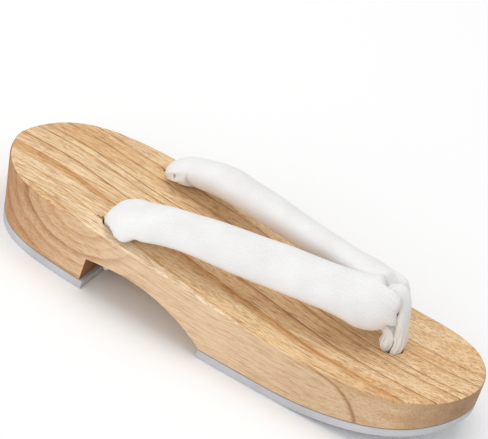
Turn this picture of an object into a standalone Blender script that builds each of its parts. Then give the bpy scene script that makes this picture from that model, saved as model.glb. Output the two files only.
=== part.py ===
"""Boat-shaped geta sandal: one wooden base on two rubber treads, with padded cloth straps and a toe loop.

X points to the wearer's right, Y to the toe and Z up. The origin is on the floor, under the middle of the
base. Tables are in millimetres and degrees.
"""

import math

import bmesh
import bpy
import numpy as np
from mathutils import Matrix, Vector

MM = 0.001
GAP = 0.3 * MM  # between two pieces that touch

# Plan outline of the base, an oval whose two ends have their own roundness
LENGTH = 240 * MM
HALF_WIDTH = 42.4 * MM
WIDEST_Y = -19.1 * MM
TOE_END = {"taper": 0.122, "power": 9.25, "root": 1.71}
HEEL_END = {"taper": 0.149, "power": 7.32, "root": 1.55}
EDGE_STEP = 3.6 * MM  # distance between two outline points

# Top of the base, where the foot rests: y, z
FOOTBED = ((-120, 29.5), (-60, 30.9), (0, 27.5), (60, 25.2), (120, 31.6))
RIM = 1.4 * MM  # rounding of the top edge
HEEL_LEAN = 6.5 * MM  # the back of the heel leans in by this much at the floor
LEAN_START_Y = -30 * MM

# Underside: rubber treads, toe rocker and the arch sawn out between heel and forefoot
TREAD = 4.0 * MM
ROCKER_START_Y = 43.8 * MM
ROCKER_RISE = 16.4 * MM  # at the tip of the toe
ROCKER_POWER = 1.8
HEEL_FACE_Y = -56.0 * MM  # front of the wooden heel block
HEEL_TREAD_Y = -54.6 * MM  # front of its tread
FOREFOOT_TREAD_Y = 6.8 * MM  # back of the forefoot tread
ARCH = ((-56, 15.6), (-48, 16.9), (-37, 17.9), (-24, 17.0), (-12, 13.9), (-3, 10.3), (7.6, 4.1))
ARCH_STEPS = 20

# Bores that hold the straps
REAR_BORE_X = 29.6 * MM
REAR_BORE_TOP = (-53.7 * MM, 31.0 * MM)  # y, z of the mouth
REAR_BORE_FOOT = (-50.2 * MM, 16.7 * MM)  # y, z of the end in the arch
REAR_BORE_RADIUS = 4.8 * MM
FRONT_BORE_RADIUS = 5.2 * MM
FRONT_BORE_X = -1.8 * MM  # the toe loop stands a little to the left of the middle
FRONT_BORE_Y = 76.2 * MM
KNOT_POCKET_RADIUS = 9.5 * MM
KNOT_POCKET_TOP = 16.4 * MM
ROUND_SIDES = 20
OVERSHOOT = 6 * MM  # a cutter reaches this far past what it cuts
SHARP_ANGLE = 40  # degrees between two faces, above which their edge isn't smoothed

# Right strap, from its rear bore to the middle of the front joint; the left one mirrors it. tilt lowers the
# outer edge, and turn is the heading of the outer edge in plan, from 0 at +X to 90 at +Y.
# x, y, z, half_width, half_thickness, tilt, turn
STRAP = (
    (29.6, -50.6, 18.4, 3.9, 3.9, 0, 0),
    (29.6, -53.1, 28.6, 4.0, 3.9, 0, 0),
    (29.6, -53.8, 31.8, 4.4, 4.0, 0, 0),
    (29.4, -53.3, 34.0, 8.8, 4.4, 6, 0),
    (28.8, -50.4, 35.9, 11.8, 5.7, 12, 0),
    (29.2, -45.0, 37.9, 12.0, 6.3, 14, 2),
    (28.6, -39.5, 39.6, 11.4, 6.6, 12, 6),
    (27.0, -30.0, 42.1, 11.0, 7.0, 9, 10),
    (25.1, -20.5, 43.3, 10.9, 6.8, 10, 12),
    (22.8, -9.5, 44.0, 11.0, 7.2, 16, 12),
    (20.8, 0.5, 44.4, 11.1, 7.2, 22, 12),
    (16.5, 21.0, 45.3, 11.2, 7.1, 29, 12),
    (12.6, 41.0, 45.8, 11.2, 7.3, 33, 12),
    (9.9, 54.6, 46.2, 11.7, 7.3, 40, 16),
    (8.6, 61.4, 46.3, 11.6, 7.2, 58, 32),
    (5.9, 67.0, 46.0, 10.5, 6.5, 76, 54),
    (0.0, 68.4, 45.4, 8.0, 4.6, 90, 90),
)
STRAP_STEP = 3.2 * MM
LYING_HEIGHT = 2.5 * MM  # the strap lies flat on the wood once its middle is this far above it
STRAP_SIDES = 20

# Toe loop, from the foot of its rear leg up behind the joint, over it and down the front leg
# y, z, half_width, half_thickness
TOE_LOOP = (
    (73.8, 17.6, 4.0, 2.2),
    (73.8, 26.2, 4.1, 2.2),
    (73.4, 29.4, 5.4, 2.7),
    (72.8, 32.6, 5.3, 2.5),
    (70.4, 35.4, 5.0, 2.1),
    (65.6, 38.2, 4.8, 2.0),
    (62.0, 43.8, 4.8, 1.9),
    (61.8, 50.0, 5.0, 2.0),
    (64.8, 54.4, 5.3, 2.1),
    (69.0, 54.8, 5.5, 2.2),
    (72.8, 51.8, 5.2, 2.2),
    (75.2, 46.6, 4.8, 2.2),
    (76.6, 40.5, 4.8, 2.3),
    (77.9, 34.5, 5.1, 2.4),
    (78.7, 29.6, 5.2, 2.5),
    (78.5, 26.5, 4.1, 2.2),
    (78.5, 17.6, 4.0, 2.2),
)
LOOP_STEP = 3.2 * MM
LOOP_SIDES = 14

# Cord knots under the bores, turned about the bore: distance down from the bore's end, radius
REAR_KNOT = ((-1.2, 3.0), (1.3, 3.4), (1.9, 4.6), (3.2, 5.5), (4.8, 5.4), (6.2, 4.2), (6.8, 2.2))
FRONT_KNOT = ((-0.8, 3.6), (0.5, 4.4), (1.2, 6.2), (3.0, 7.4), (5.0, 7.2), (6.6, 5.2), (7.3, 2.4))
KNOT_SIDES = 16

# Colours, roughness and metallic value of each material
MATERIALS = {
    "pale_wood": ((0.72, 0.50, 0.26), 0.55, 0.0),
    "grey_rubber": ((0.57, 0.58, 0.60), 0.70, 0.0),
    "white_crepe": ((0.88, 0.87, 0.86), 0.85, 0.0),
    "cotton_cord": ((0.80, 0.77, 0.70), 0.90, 0.0),
}


def clear_scene():
    """Starts from an empty scene."""
    for old in list(bpy.data.objects):
        bpy.data.objects.remove(old)


def material(name):
    """Principled material from the table above, made once."""
    if name in bpy.data.materials:
        return bpy.data.materials[name]
    colour, roughness, metallic = MATERIALS[name]
    made = bpy.data.materials.new(name)
    made.use_nodes = True
    shader = made.node_tree.nodes["Principled BSDF"]
    shader.inputs["Base Color"].default_value = (*colour, 1.0)
    shader.inputs["Roughness"].default_value = roughness
    shader.inputs["Metallic"].default_value = metallic
    return made


def add_object(name, bm, material_name):
    """Closes a bmesh into a named object with outward faces."""
    bmesh.ops.recalc_face_normals(bm, faces=bm.faces)
    mesh = bpy.data.meshes.new(name)
    bm.to_mesh(mesh)
    bm.free()
    mesh.materials.append(material(material_name))
    mesh.shade_smooth()
    mesh.set_sharp_from_angle(angle=math.radians(SHARP_ANGLE))
    piece = bpy.data.objects.new(name, mesh)
    bpy.context.collection.objects.link(piece)
    return piece


def hide_cutter(cutter):
    """Marks an object as a tool that isn't part of the model."""
    cutter.hide_render = True
    cutter.display_type = "WIRE"
    return cutter


def cut(piece, cutter):
    """Takes a cutter's shape out of a piece."""
    boolean = piece.modifiers.new("cut_" + cutter.name, "BOOLEAN")
    boolean.operation = "DIFFERENCE"
    boolean.solver = "EXACT"
    boolean.object = cutter


def smooth_curve(stations, values):
    """Natural cubic spline: a function that gives the values, one or more columns, at any station."""
    at = np.asarray(stations, dtype=float)
    rows = np.asarray(values, dtype=float).reshape(len(at), -1)
    step = np.diff(at)
    slope = np.diff(rows, axis=0) / step[:, None]
    matrix = np.eye(len(at))
    bend = np.zeros_like(rows)
    for i in range(1, len(at) - 1):
        matrix[i, i - 1 : i + 2] = step[i - 1], 2 * (step[i - 1] + step[i]), step[i]
        bend[i] = 6 * (slope[i] - slope[i - 1])
    bend = np.linalg.solve(matrix, bend)

    def value(wanted):
        x = np.atleast_1d(wanted).astype(float)
        i = np.clip(np.searchsorted(at, x) - 1, 0, len(step) - 1)
        h = step[i][:, None]
        after = x[:, None] - at[i][:, None]
        before = h - after
        curve = (bend[i] * before**3 + bend[i + 1] * after**3) / (6 * h)
        curve += (rows[i] / h - bend[i] * h / 6) * before
        curve += (rows[i + 1] / h - bend[i + 1] * h / 6) * after
        return curve

    return value


FOOTBED_CURVE = smooth_curve([y for y, z in FOOTBED], [z for y, z in FOOTBED])


def footbed_z(y):
    """Height of the top of the base."""
    return FOOTBED_CURVE(y / MM)[:, 0] * MM


def floor_z(y):
    """Height of the treads' lower side: flat, then rising to the toe."""
    rise = np.clip((y - ROCKER_START_Y) / (LENGTH / 2 - ROCKER_START_Y), 0, None)
    return ROCKER_RISE * rise**ROCKER_POWER


def wood_low_z(y):
    """Height of the wood's lower side, on top of the treads."""
    return floor_z(y) + TREAD + GAP / 2


def tread_high_z(y):
    """Height of the treads' upper side."""
    return floor_z(y) + TREAD - GAP / 2


def right_edge(y_low, y_high):
    """Points of the right half of the plan outline, from the toe to the heel, evenly spaced."""
    turn = np.linspace(0, math.pi / 2, 2000)
    halves = []
    for s, end, tip in ((np.cos(turn), TOE_END, LENGTH / 2), (np.sin(turn), HEEL_END, -LENGTH / 2)):
        x = HALF_WIDTH * (1 - end["taper"] * s**2) * (1 - s ** end["power"]) ** (1 / end["root"])
        halves.append(np.column_stack((x, WIDEST_Y + (tip - WIDEST_Y) * s)))
    fine = np.vstack((halves[0], halves[1][1:]))
    fine = fine[(fine[:, 1] >= y_low) & (fine[:, 1] <= y_high)]
    run = np.concatenate(([0], np.cumsum(np.linalg.norm(np.diff(fine, axis=0), axis=1))))
    count = round(run[-1] / EDGE_STEP)
    # a point on the middle line is left out, so that both ends close with a short flat
    first = 0.5 if fine[0, 0] < EDGE_STEP else 0
    last = count - 0.5 if fine[-1, 0] < EDGE_STEP else count
    stops = np.linspace(first, last, count) * run[-1] / count
    return np.column_stack([np.interp(stops, run, fine[:, k]) for k in (0, 1)])


def slab(name, edge, levels, material_name):
    """Closed solid on a mirrored plan edge. Each level is an inset, a height and a lean, all functions of y."""
    along = np.gradient(edge, axis=0)
    outward = np.column_stack((-along[:, 1], along[:, 0]))
    outward /= np.linalg.norm(outward, axis=1)[:, None]
    bm = bmesh.new()
    rings = []
    for inset, height, lean in levels:
        points = edge - outward * inset
        y = points[:, 1]
        z = height(y)
        moved = y + lean(y)
        right = [bm.verts.new(p) for p in zip(points[:, 0], moved, z)]
        left = [bm.verts.new(p) for p in zip(-points[:, 0], moved, z)]
        rings.append((right, left))
    for (right_a, left_a), (right_b, left_b) in zip(rings, rings[1:]):
        ring_a = right_a + left_a[::-1]
        ring_b = right_b + left_b[::-1]
        for i in range(len(ring_a)):
            bm.faces.new((ring_a[i - 1], ring_a[i], ring_b[i], ring_b[i - 1]))
    for right, left in (rings[0], rings[-1]):
        for i in range(len(right) - 1):
            bm.faces.new((right[i], right[i + 1], left[i + 1], left[i]))
    return add_object(name, bm, material_name)


def no_lean(y):
    """Upright wall."""
    return 0 * y


def heel_lean(y):
    """Forward shift of the heel's lower edge."""
    back = np.clip((LEAN_START_Y - y) / (LEAN_START_Y + LENGTH / 2), 0, 1)
    return HEEL_LEAN * back**2


def joint_lean(y):
    """Lean where wood and rubber meet, so that one continues the other's wall."""
    return heel_lean(y) * (1 - TREAD / footbed_z(y))


def arch_cutter():
    """Block with the arch's side profile, as wide as the base and more."""
    rows = np.array(ARCH, dtype=float)
    curve = smooth_curve(rows[:, 0], rows[:, 1])
    stations = np.linspace(rows[0, 0], rows[-1, 0], ARCH_STEPS)
    ceiling = [(y * MM, z * MM) for y, z in zip(stations, curve(stations)[:, 0])]
    profile = [(HEEL_FACE_Y, -OVERSHOOT), *ceiling, (ceiling[-1][0] + OVERSHOOT, -OVERSHOOT)]
    reach = HALF_WIDTH + OVERSHOOT
    bm = bmesh.new()
    side = bm.faces.new([bm.verts.new((-reach, y, z)) for y, z in profile])
    grown = bmesh.ops.extrude_face_region(bm, geom=[side])
    moved = [v for v in grown["geom"] if isinstance(v, bmesh.types.BMVert)]
    bmesh.ops.translate(bm, vec=(2 * reach, 0, 0), verts=moved)
    return hide_cutter(add_object("arch_cutter", bm, "pale_wood"))


def rod_cutter(name, start, end, radius):
    """Round cutter between two points."""
    axis = Vector(end) - Vector(start)
    turn = axis.to_track_quat("Z", "Y").to_matrix().to_4x4()
    place = Matrix.Translation((Vector(start) + Vector(end)) / 2) @ turn
    bm = bmesh.new()
    bmesh.ops.create_cone(
        bm, cap_ends=True, segments=ROUND_SIDES, radius1=radius, radius2=radius, depth=axis.length, matrix=place
    )
    return hide_cutter(add_object(name, bm, "pale_wood"))


def rear_bore_axis():
    """Direction of the right rear bore, downwards."""
    top = Vector((REAR_BORE_X, *REAR_BORE_TOP))
    foot = Vector((REAR_BORE_X, *REAR_BORE_FOOT))
    return top, foot, (foot - top).normalized()


def mirrored(point):
    """The same point on the left side."""
    return Vector((-point[0], point[1], point[2]))


def make_base():
    """One block of wood: outline, footbed, leaning heel, arch and three bores."""
    edge = right_edge(-LENGTH / 2, LENGTH / 2)
    half = math.sqrt(0.5)
    levels = [
        (0, wood_low_z, joint_lean),
        (0, lambda y: footbed_z(y) - RIM, no_lean),
        (RIM * (1 - half), lambda y: footbed_z(y) - RIM * (1 - half), no_lean),
        (RIM, footbed_z, no_lean),
    ]
    base = slab("base", edge, levels, "pale_wood")
    cut(base, arch_cutter())
    top, foot, down = rear_bore_axis()
    for side, place in (("right", Vector), ("left", mirrored)):
        start = place(top - down * OVERSHOOT)
        end = place(foot + down * OVERSHOOT)
        cut(base, rod_cutter("rear_bore_cutter_" + side, start, end, REAR_BORE_RADIUS))
    above = (FRONT_BORE_X, FRONT_BORE_Y, footbed_z(FRONT_BORE_Y)[0] + OVERSHOOT)
    ceiling = (FRONT_BORE_X, FRONT_BORE_Y, KNOT_POCKET_TOP)
    inside = (FRONT_BORE_X, FRONT_BORE_Y, KNOT_POCKET_TOP - OVERSHOOT)
    below = (FRONT_BORE_X, FRONT_BORE_Y, -OVERSHOOT)
    cut(base, rod_cutter("front_bore_cutter", above, inside, FRONT_BORE_RADIUS))
    cut(base, rod_cutter("knot_pocket_cutter", ceiling, below, KNOT_POCKET_RADIUS))


def make_treads():
    """Rubber treads under the heel and the forefoot, the front one open under the knot."""
    levels = [(0, floor_z, heel_lean), (0, tread_high_z, joint_lean)]
    slab("heel_tread", right_edge(-LENGTH / 2, HEEL_TREAD_Y), levels, "grey_rubber")
    forefoot = slab("forefoot_tread", right_edge(FOREFOOT_TREAD_Y, LENGTH / 2), levels, "grey_rubber")
    cut(forefoot, bpy.data.objects["knot_pocket_cutter"])


def sample_rows(table, columns, step):
    """Smooth rows along a table's path, about a step apart. The first columns are the path itself."""
    rows = np.array(table, dtype=float)
    run = np.concatenate(([0], np.cumsum(np.linalg.norm(np.diff(rows[:, :columns], axis=0), axis=1))))
    count = round(run[-1] * MM / step) + 1
    return smooth_curve(run, rows)(np.linspace(0, run[-1], count))


def oval(centre, side, up, half_width, half_thickness, count):
    """Points of an oval section."""
    angles = [2 * math.pi * k / count for k in range(count)]
    return [centre + side * half_width * math.cos(a) + up * half_thickness * math.sin(a) for a in angles]


def sweep(sections):
    """Closed tube through sections with equal point counts."""
    bm = bmesh.new()
    loops = []
    for points in sections:
        loops.append([bm.verts.new(p) for p in points])
    for loop_a, loop_b in zip(loops, loops[1:]):
        for i in range(len(loop_a)):
            bm.faces.new((loop_a[i - 1], loop_a[i], loop_b[i], loop_b[i - 1]))
    bm.faces.new(loops[0])
    bm.faces.new(loops[-1])
    return bm


def sideways(y):
    """Shift of the straps towards the toe loop, which stands off the middle line."""
    return FRONT_BORE_X * np.clip((y - REAR_BORE_TOP[0]) / (FRONT_BORE_Y - REAR_BORE_TOP[0]), 0, 1)


def strap_sections():
    """Sections of the strap pair, from the right bore through the joint to the left bore."""
    left = [(-x, y, z, width, thickness, tilt, 180 - turn) for x, y, z, width, thickness, tilt, turn in STRAP]
    rows = sample_rows([*STRAP, *left[-2::-1]], 3, STRAP_STEP)
    path = rows[:, :3] * MM
    path[:, 0] += sideways(path[:, 1])
    tangents = np.gradient(path, axis=0)
    sections = []
    for centre, tangent, row in zip(path, tangents, rows):
        half_width, half_thickness, tilt, turn = row[3:]
        along = Vector(tangent).normalized()
        side = Vector((math.cos(math.radians(turn)), math.sin(math.radians(turn)), 0))
        side = (side - along * side.dot(along)).normalized()
        roll = Matrix.Rotation(math.radians(tilt), 3, along)
        side = roll @ side
        up = side.cross(along)
        points = oval(Vector(centre), side, up, half_width * MM, half_thickness * MM, STRAP_SIDES)
        if centre[2] > footbed_z(centre[1])[0] + LYING_HEIGHT:
            points = [Vector((p.x, p.y, max(p.z, footbed_z(p.y)[0] + GAP))) for p in points]
        sections.append(points)
    return sections


def loop_sections(grow):
    """Sections of the toe loop, each grown by a margin."""
    rows = sample_rows(TOE_LOOP, 2, LOOP_STEP)
    path = rows[:, :2] * MM
    tangents = np.gradient(path, axis=0)
    sections = []
    for (y, z), (run_y, run_z), row in zip(path, tangents, rows):
        across = Vector((0, run_z, -run_y)).normalized()
        centre = Vector((FRONT_BORE_X, y, z))
        sizes = row[2:] * MM + grow
        sections.append(oval(centre, Vector((1, 0, 0)), across, *sizes, LOOP_SIDES))
    return sections


def make_straps():
    """The padded strap pair: one tube, bent at the joint, with a channel where the toe loop holds it."""
    straps = add_object("straps", sweep(strap_sections()), "white_crepe")
    channel = add_object("loop_channel_cutter", sweep(loop_sections(GAP)), "white_crepe")
    cut(straps, hide_cutter(channel))


def make_toe_loop():
    """The cloth loop that holds the joint down through the front bore."""
    add_object("toe_loop", sweep(loop_sections(0)), "white_crepe")


def knot(name, start, down, profile):
    """Round cord knot, turned about the bore that it closes."""
    bm = bmesh.new()
    ring = [bm.verts.new((radius * MM, 0, -depth * MM)) for depth, radius in profile]
    edges = [bm.edges.new(pair) for pair in zip(ring, ring[1:])]
    bmesh.ops.spin(
        bm, geom=ring + edges, axis=(0, 0, 1), cent=(0, 0, 0), steps=KNOT_SIDES, angle=2 * math.pi, use_merge=True
    )
    bmesh.ops.remove_doubles(bm, verts=bm.verts, dist=0.00001)
    bmesh.ops.holes_fill(bm, edges=bm.edges, sides=KNOT_SIDES)
    turn = down.to_track_quat("-Z", "Y").to_matrix().to_4x4()
    place = Matrix.Translation(start) @ turn
    bmesh.ops.transform(bm, matrix=place, verts=bm.verts)
    add_object(name, bm, "cotton_cord")


def make_knots():
    """Cord knots that hold the strap ends under their bores."""
    top, foot, down = rear_bore_axis()
    knot("cord_knot_right", foot, down, REAR_KNOT)
    knot("cord_knot_left", mirrored(foot), mirrored(down), REAR_KNOT)
    ceiling = Vector((FRONT_BORE_X, FRONT_BORE_Y, KNOT_POCKET_TOP))
    knot("cord_knot_front", ceiling, Vector((0, 0, -1)), FRONT_KNOT)


clear_scene()
make_base()
make_treads()
make_straps()
make_toe_loop()
make_knots()
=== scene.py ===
"""Boat-shaped wooden sandal with white padded cloth straps, seen from its right side and from above."""

import math

import bmesh
import bpy
import numpy as np
from mathutils import Matrix, Vector


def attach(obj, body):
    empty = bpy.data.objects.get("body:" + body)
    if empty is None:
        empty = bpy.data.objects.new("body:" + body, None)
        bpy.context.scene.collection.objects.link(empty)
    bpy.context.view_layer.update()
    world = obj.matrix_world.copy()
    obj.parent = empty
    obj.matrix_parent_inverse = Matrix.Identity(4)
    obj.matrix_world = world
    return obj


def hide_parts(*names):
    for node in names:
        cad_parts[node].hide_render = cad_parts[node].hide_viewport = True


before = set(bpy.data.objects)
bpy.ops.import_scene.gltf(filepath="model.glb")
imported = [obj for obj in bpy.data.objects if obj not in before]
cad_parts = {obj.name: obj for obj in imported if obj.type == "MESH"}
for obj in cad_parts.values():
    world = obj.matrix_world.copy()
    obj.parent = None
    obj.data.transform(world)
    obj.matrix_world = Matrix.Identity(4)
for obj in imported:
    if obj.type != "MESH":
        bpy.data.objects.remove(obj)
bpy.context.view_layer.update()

MM = 0.001
GAP = 0.3 * MM  # between two pieces that touch

# Plan outline of the base
LENGTH = 240 * MM
HALF_WIDTH = 42.4 * MM
WIDEST_Y = -19.1 * MM
TOE_END = {"taper": 0.122, "power": 9.25, "root": 1.71}
HEEL_END = {"taper": 0.149, "power": 7.32, "root": 1.55}
EDGE_STEP = 1.3 * MM

# Top, lean and underside of the base
FOOTBED = ((-120, 29.5), (-60, 30.9), (0, 27.5), (60, 25.2), (120, 31.6))  # y, z in mm
RIM = 1.4 * MM
RIM_STEPS = 4
RIM_INSET = 2.24 * MM  # how far in the last edge beside the rim lies
HEEL_LEAN = 6.5 * MM
LEAN_START_Y = -30 * MM
TREAD = 4.0 * MM
ROCKER_START_Y = 43.8 * MM
ROCKER_RISE = 16.4 * MM
ROCKER_POWER = 1.8
HEEL_FACE_Y = -56.0 * MM
HEEL_TREAD_Y = -54.6 * MM
FOREFOOT_TREAD_Y = 6.8 * MM
ARCH = ((-56, 15.6), (-48, 16.9), (-37, 17.9), (-24, 17.0), (-12, 13.9), (-3, 10.3), (7.6, 4.1))  # y, z in mm
ARCH_STEPS = 64
EDGE_WEAR = 0.35 * MM  # rounding that handling gives the sawn edges
RUBBER_ROUNDING = 0.5 * MM
RUBBER_INSET = 0.8 * MM  # how far in the last edge of a tread's underside lies
SHARP_ANGLE = 30  # degrees between two faces from which wood and rubber edges are crisp
TOP_SLOPE = 0.6  # upward share of a face's direction from which it has the top's grain
END_SLOPE = 0.9  # forward share from which the heel's front face has end grain, darkened further with painted shade

# Bores
REAR_BORE_X = 29.6 * MM
REAR_BORE_TOP = (-53.7 * MM, 31.0 * MM)  # y, z
REAR_BORE_FOOT = (-50.2 * MM, 16.7 * MM)  # y, z
REAR_BORE_RADIUS = 4.8 * MM
FRONT_BORE_RADIUS = 5.2 * MM
FRONT_BORE_X = -1.8 * MM
FRONT_BORE_Y = 76.2 * MM
KNOT_POCKET_RADIUS = 9.5 * MM
KNOT_POCKET_TOP = 16.4 * MM
BORE_SIDES = 48
OVERSHOOT = 6 * MM

# Right strap, in mm and degrees: x, y, z, half width, half thickness, tilt, turn
STRAP = (
    (29.6, -50.6, 18.4, 3.9, 3.9, 0, 0),
    (29.6, -53.1, 28.6, 4.0, 3.9, 0, 0),
    (29.6, -53.8, 31.8, 4.4, 4.0, 0, 0),
    (29.4, -53.3, 34.0, 8.8, 4.4, 6, 0),
    (28.8, -50.4, 35.9, 11.8, 5.7, 12, 0),
    (29.2, -45.0, 37.9, 12.0, 6.3, 14, 2),
    (28.6, -39.5, 39.6, 11.4, 6.6, 12, 6),
    (27.0, -30.0, 42.1, 11.0, 7.0, 9, 10),
    (25.1, -20.5, 43.3, 10.9, 6.8, 10, 12),
    (22.8, -9.5, 44.0, 11.0, 7.2, 16, 12),
    (20.8, 0.5, 44.4, 11.1, 7.2, 22, 12),
    (16.5, 21.0, 45.3, 11.2, 7.1, 29, 12),
    (12.6, 41.0, 45.8, 11.2, 7.3, 33, 12),
    (9.9, 54.6, 46.2, 11.7, 7.3, 40, 16),
    (8.6, 61.4, 46.3, 11.6, 7.2, 58, 32),
    (5.9, 67.0, 46.0, 10.5, 6.5, 76, 54),
    (0.0, 68.4, 45.4, 8.0, 4.6, 90, 90),
)
STRAP_STEP = 1.1 * MM
STRAP_SIDES = 72
LYING_HEIGHT = 2.5 * MM  # a strap's middle is lower than this over the wood only at its bore
GIRTH = 56 * MM  # the straps' cloth map runs this far round
STITCH = (0.2731, 0.0283, 0)  # place of the dark stitch on the cloth map, in m
STITCH_EDGE = (0.1 * MM, 0.4 * MM)  # where it starts to fade, and where it is gone
STITCH_TURN = 0.7  # radians
STITCH_SHAPE = (1, 0.45, 1)  # makes it longer one way

# Soft folds of the straps, each with its height, its middle from the rear end and half its length in mm, its
# angle round the section from the outer side and half its width in radians, and its slant in mm a radian
NEAR_FOLDS = (  # right strap
    (1.2, 25.4, 2.0, -0.45, 0.55, 0),  # cloth gathered beside its bore
    (1.7, 17.0, 1.5, -0.3, 0.7, 0),
    (-0.7, 21.6, 1.4, -0.5, 0.5, 0),
    (-1.0, 28.8, 1.6, -0.6, 0.5, 0),
    (-0.9, 116, 15, -0.7, 0.6, 0),
    (0.7, 133, 4, -0.5, 0.5, 0),
    (-0.22, 134.25, 0.9, 0.25, 0.5, 5.0),  # small folds where the loop pulls
    (-0.3, 137.325, 0.9, 0.25, 0.5, 6.5),
    (-0.3, 139.9, 0.9, 0.25, 0.5, 8.0),
)
FAR_FOLDS = (  # left strap, which shows its inner side
    (-1.6, 26.6, 1.3, 3.7, 0.75, -2.6),  # tuck beside its bore
    (0.8, 22.94, 2.2, 3.6, 0.8, -2.6),
    (-0.7, 21.45, 0.8, 3.3, 0.6, -1.5),
    (-2.4, 18.4, 2.2, 3.85, 0.45, 0),
    (1.3, 126, 7, 1.9, 0.8, 0),  # full where it turns on edge
)
BOTH_FOLDS = (  # seam below, full ridge at the crotch, and long soft waves
    (-0.35, 85, 45, -math.pi / 2, 0.12, 0),
    (2.4, 135, 5, 3.1, 0.6, 0),
    (0.18, 45, 9, 1.2, 0.8, 0),
    (-0.18, 60, 8, 0.4, 0.8, 0),
    (0.14, 76, 10, 1.6, 0.8, 0),
    (-0.14, 90, 9, 0.6, 0.8, 0),
    (0.18, 104, 10, 2.0, 0.8, 0),
    (0.14, 58, 8, 3.0, 0.8, 0),
    (-0.18, 82, 9, 2.8, 0.8, 0),
)
FAR_PUCKERS = (  # as above, but waves, with their turn for each mm along and each radian round last
    (0.22, 19.0, 3.6, 3.3, 0.9, 2.9, 2),
    (0.4, 19.0, 3.0, 3.4, 0.9, 0.25, 13),
)
MOUTH = (18.5, 5.5, 0.6)  # where a strap fills out at its bore: middle and half length in mm, squareness

# Toe loop, in mm: y, z, half width, half thickness
TOE_LOOP = (
    (73.8, 17.6, 4.0, 2.2),
    (73.8, 24.8, 4.2, 2.2),
    (73.6, 26.8, 5.1, 2.5),
    (73.2, 28.6, 5.7, 3.0),
    (73.0, 32.6, 4.8, 2.1),
    (70.4, 35.4, 5.0, 2.1),
    (65.6, 38.2, 4.8, 2.0),
    (62.4, 43.8, 4.7, 1.9),
    (63.6, 49.4, 4.8, 1.9),
    (66.9, 53.0, 5.1, 1.8),
    (70.2, 54.0, 5.2, 2.0),
    (72.8, 51.8, 5.2, 2.2),
    (75.3, 46.6, 4.8, 2.2),
    (76.5, 40.5, 4.8, 2.5),
    (77.9, 34.5, 4.9, 2.3),
    (78.4, 29.4, 5.2, 2.6),
    (78.3, 27.0, 4.7, 2.3),
    (78.5, 25.0, 4.2, 2.2),
    (78.5, 17.6, 4.0, 2.2),
)
LOOP_STEP = 0.6 * MM
LOOP_SIDES = 56
LOOP_GIRTH = 24 * MM  # the loop's cloth map runs this far round
JOINT_Y = 67.6 * MM  # middle of what the loop holds
JOINT_Z = 45.6 * MM
JOINT_BOTTOM = 37  # in mm: the loop goes round the joint above this height

# How the loop shapes the straps' cloth. Each pair is where an effect starts and where it ends
SHAPED_RADII = (1, 20)  # mm from the joint's middle
BEHIND = (1, 7)  # mm behind the joint's middle
HELD_WIDTH = (5.2, 6.6)  # mm off the loop's middle plane
HELD_WIDTH_BEHIND = (2.6, 9.0)
HELD_BEHIND = 0.1  # share of the hold that is left behind the loop, where the straps part
HELD_REACH = (13, 19)  # mm from the joint's middle
SWELL = 5.2  # mm that the cloth rises beside the loop
SWELL_IN_FRONT = 0.56  # share of it at the toe side
SWELL_GROWTH = (0, 0.6)  # angles in radians, up from the toe
SWELL_START = (-0.72, -0.46)
SWELL_END = (2.2, 2.8)
REAR_START = (1.1, 1.6)
SWELL_WIDTH = (5.0, 6.2)  # mm off the loop's middle plane
SWELL_FADE = 4.0
SWELL_RADII = (4.5, 7.0)
REAR_SWELL = 0.2  # mm more that the cloth rises behind the loop
LEFT_SWELL = 0.3  # share of the swell on the left side
LEFT_REAR_SWELL = 0.7

# Toe loop's folds, by height in mm
PUCKERS = ((0.32, 9, 0.35, 1), (0.22, 5, -0.5, 2))  # height in mm, count, twist for each mm, start angle
PUCKER_RISE = (25.5, 28)
PUCKER_FADE = (31, 42)
CROWN = (47, 53)
CROWN_FOLD = (0.3, 0.16)  # depth in mm and half width, as a share of the loop's half width
PRESS_START = (24, 26)
FRONT_PRESS_TOP = 43  # up to here the front leg presses on the rear one
REAR_PRESS_TOP = 35
PRESS_FADE = 3
TIGHT_TOP = 33  # below this the front leg also fills the room up to the seam
FACING_POWER = 0.7  # how the push on a leg fades from its middle to its sides
SEAM_HEIGHTS = (20, 26, 30, 33, 36, 38, 40, 42, 44)
SEAM_Y = (76.3, 76.4, 77.2, 77.2, 76.4, 75.7, 74.3, 73.5, 73.1)  # where the loop's two legs meet

# Overhand knots in the cords, in mm: middle below the bore's end, breadth, rise, cord radius, top of the neck
REAR_KNOT = {"drop": 3.7, "breadth": 1.42, "rise": 1.9, "radius": 1.32, "neck": -1.1}
FRONT_KNOT = {"drop": 4.2, "breadth": 1.95, "rise": 2.0, "radius": 1.42, "neck": -0.7}
KNOT_STEP = 0.35 * MM
KNOT_SIDES = 24
PLIES = 3
PLY_DEPTH = 0.34  # share of the cord's radius
PLY_TURN = 0.9  # radians for each mm along the cord
KNOT_POINTS = 25
KNOT_OPENING = 0.3  # radians of the knot's round that its neck and its tail leave open
KNOT_NECK = (0, -0.2, 0.4)  # x, y, z where the neck ends
KNOT_TAIL = ((0.1, -0.3, 0.1), (0.3, 0.2, 0.9))  # x, y as a share of the breadth, z below the crossings

# Camera, fitted to the outline of the base in the photo, and lights
CAMERA_PLACE = (1.4244, 0.4362, 0.9756)  # in m
CAMERA_ANGLES = (107.29, 31.89, 20.32)  # azimuth, elevation and roll in degrees
CAMERA_LENS = 295.2  # in mm, on a sensor 36 mm wide
SENSOR = 36
SOFT_BOXES = (  # name, place in m, size in m, power in W
    ("overhead", (-0.3, -0.4, 2.0), 2.0, 17),
    ("front", (1.8, -0.25, 0.9), 1.2, 10.5),
)
SURROUND = 0.62  # strength of the white surround
FLOOR_REACH = 6  # in m

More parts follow.
